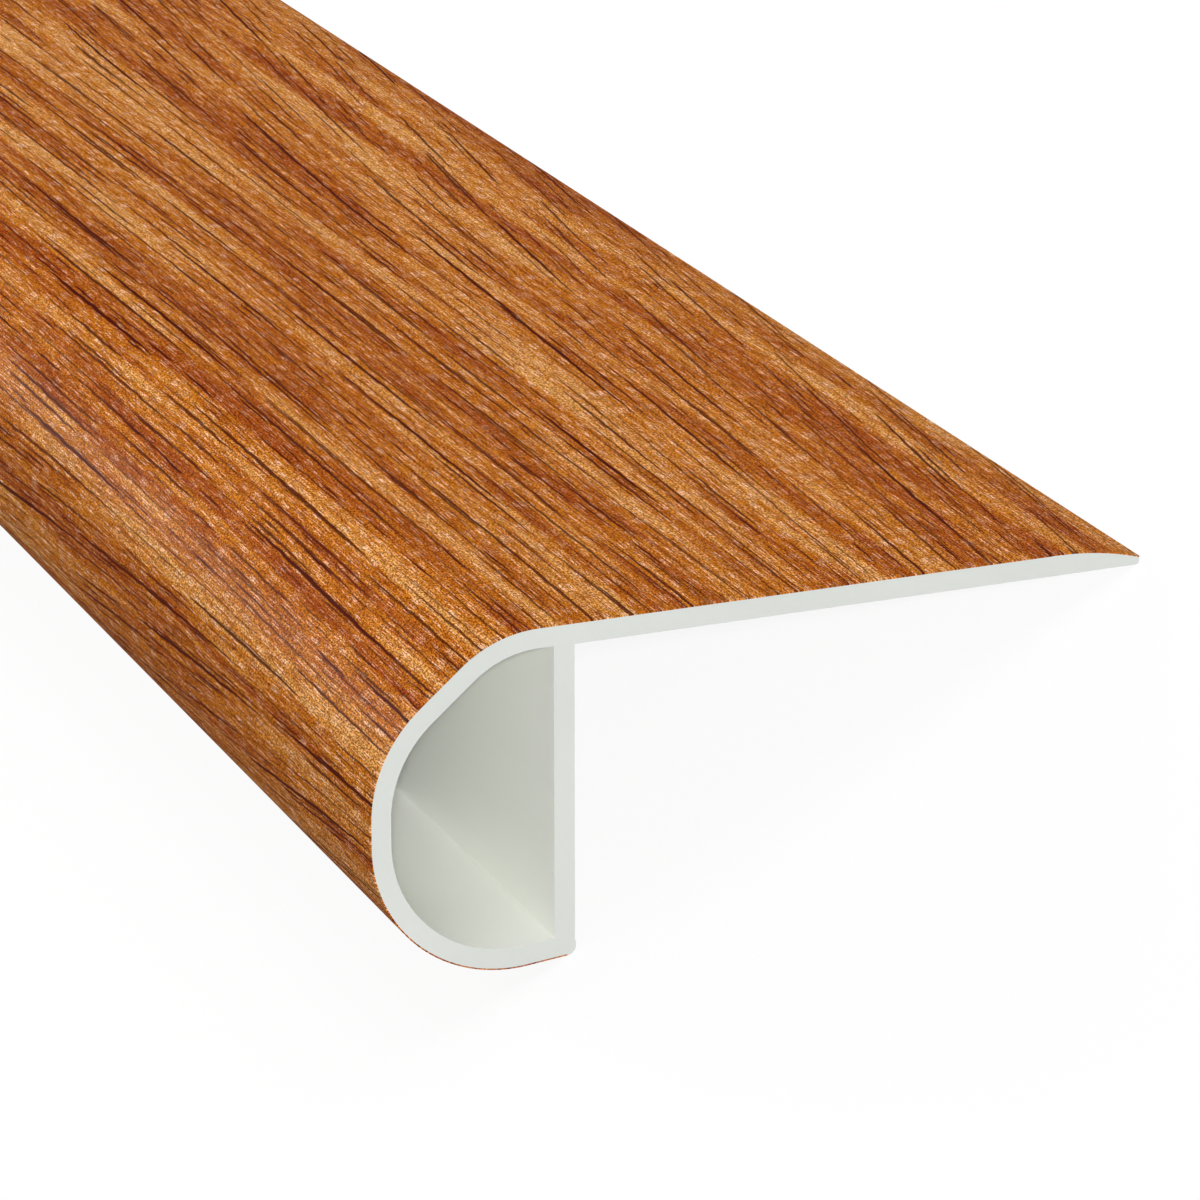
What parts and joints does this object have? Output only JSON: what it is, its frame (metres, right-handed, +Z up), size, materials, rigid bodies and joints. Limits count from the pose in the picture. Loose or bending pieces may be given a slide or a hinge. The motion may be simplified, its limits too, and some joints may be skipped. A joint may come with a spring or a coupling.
{
  "type": "stair nosing",
  "caption": "Low profile stair nosing: a hollow extruded strip with a rounded nose and a thin flange that caps the edge of a step, with a wood-grain film over its show face.",
  "frame": {"origin": "on the floor the stick lies on, under the middle of its box", "axes": "+Y along the stick, away from the end that the picture shows; +X across it, from the nose to the flange's tip; +Z up, with the stick lying on its foot and the flange's tip, show face up"},
  "size_m": [0.0578, 2.286, 0.0233],
  "materials": {
    "pvc": "matt, as extruded",
    "decor_film": "satin printed wood grain"
  },
  "bodies": {
    "root": {"pvc_profile": "pvc", "decor_film": "decor_film"}
  },
  "joints": []
}
